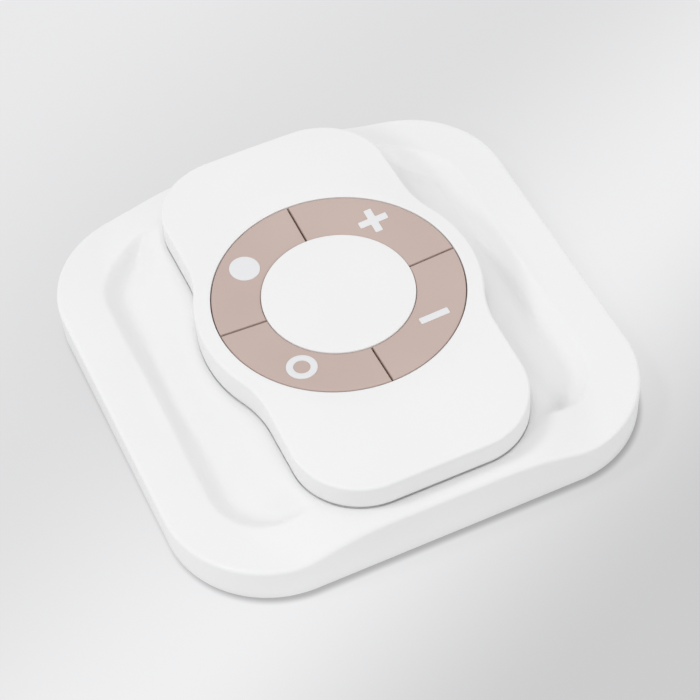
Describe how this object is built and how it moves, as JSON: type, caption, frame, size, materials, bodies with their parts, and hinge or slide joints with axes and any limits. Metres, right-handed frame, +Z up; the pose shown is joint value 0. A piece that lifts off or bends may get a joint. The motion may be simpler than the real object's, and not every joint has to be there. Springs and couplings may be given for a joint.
{
  "type": "smart remote control with dock",
  "caption": "Slim rounded remote control with a ring of press keys, resting on the raised seat of a square dish-shaped dock that lies flat or screws to a wall.",
  "frame": {"origin": "centre of the dock on the surface it lies on", "axes": "+Z up out of the remote's face, +Y away from the user along the remote's length, +X to the right"},
  "size_m": [0.0804, 0.0806, 0.0167],
  "materials": {
    "white_case": "satin white moulded plastic of the remote",
    "white_dock": "glossy white moulded plastic of the dock",
    "rose_key": "soft matt dusty rose plastic",
    "white_sign": "white signs moulded into the keys",
    "steel": "zinc-plated steel",
    "cell_steel": "plated steel of the coin cell",
    "spring_metal": "gold-flashed spring metal",
    "magnet": "nickel-plated magnet",
    "board": "green solder mask",
    "black_plastic": "black moulded electronic parts",
    "lamp_lens": "clear lens of the status light",
    "foam": "soft white foam with adhesive"
  },
  "bodies": {
    "dock": {"dock_shell": "white_dock", "dock_back_plate": "white_dock", "dock_steel_plate": "steel", "dock_plate_screws": "steel", "dock_foam_pads": "foam"},
    "remote": {"remote_cover": "white_case", "remote_base": "white_case", "remote_magnets": "magnet", "remote_case_screws": "steel", "circuit_board": "board", "switch_bodies": "black_plastic", "radio_shield": "steel", "radio_chip": "black_plastic", "board_components": "black_plastic", "status_light": "lamp_lens", "battery_contact_minus": "spring_metal", "battery_contact_plus": "spring_metal", "coin_cell": "cell_steel", "centre_cap": "white_case"},
    "key_on": {"key_on": "rose_key", "symbol_on": "white_sign", "plunger_on": "black_plastic"},
    "key_plus": {"key_plus": "rose_key", "symbol_plus": "white_sign", "plunger_plus": "black_plastic"},
    "key_minus": {"key_minus": "rose_key", "symbol_minus": "white_sign", "plunger_minus": "black_plastic"},
    "key_off": {"key_off": "rose_key", "symbol_off": "white_sign", "plunger_off": "black_plastic"},
    "battery_door": {"battery_door": "white_case"},
    "pairing_button": {"pairing_button": "white_sign", "plunger_pairing": "black_plastic"}
  },
  "joints": [
    {"name": "remote_lift", "type": "slide", "parent": "dock", "child": "remote", "axis": [0, 0, 1], "range_m": [0, 0.03]},
    {"name": "press_on", "type": "slide", "parent": "remote", "child": "key_on", "axis": [0, 0, -1], "range_m": [0, 0.0003], "stiffness_N_per_m": 400},
    {"name": "press_plus", "type": "slide", "parent": "remote", "child": "key_plus", "axis": [0, 0, -1], "range_m": [0, 0.0003], "stiffness_N_per_m": 400},
    {"name": "press_minus", "type": "slide", "parent": "remote", "child": "key_minus", "axis": [0, 0, -1], "range_m": [0, 0.0003], "stiffness_N_per_m": 400},
    {"name": "press_off", "type": "slide", "parent": "remote", "child": "key_off", "axis": [0, 0, -1], "range_m": [0, 0.0003], "stiffness_N_per_m": 400},
    {"name": "battery_door_turn", "type": "hinge", "parent": "remote", "child": "battery_door", "pos_m": [0, 0, 0.009], "axis": [0, 0, 1], "range_deg": [0, 40]},
    {"name": "press_pairing", "type": "slide", "parent": "remote", "child": "pairing_button", "axis": [0, 0, 1], "range_m": [0, 0.00025], "stiffness_N_per_m": 400}
  ]
}
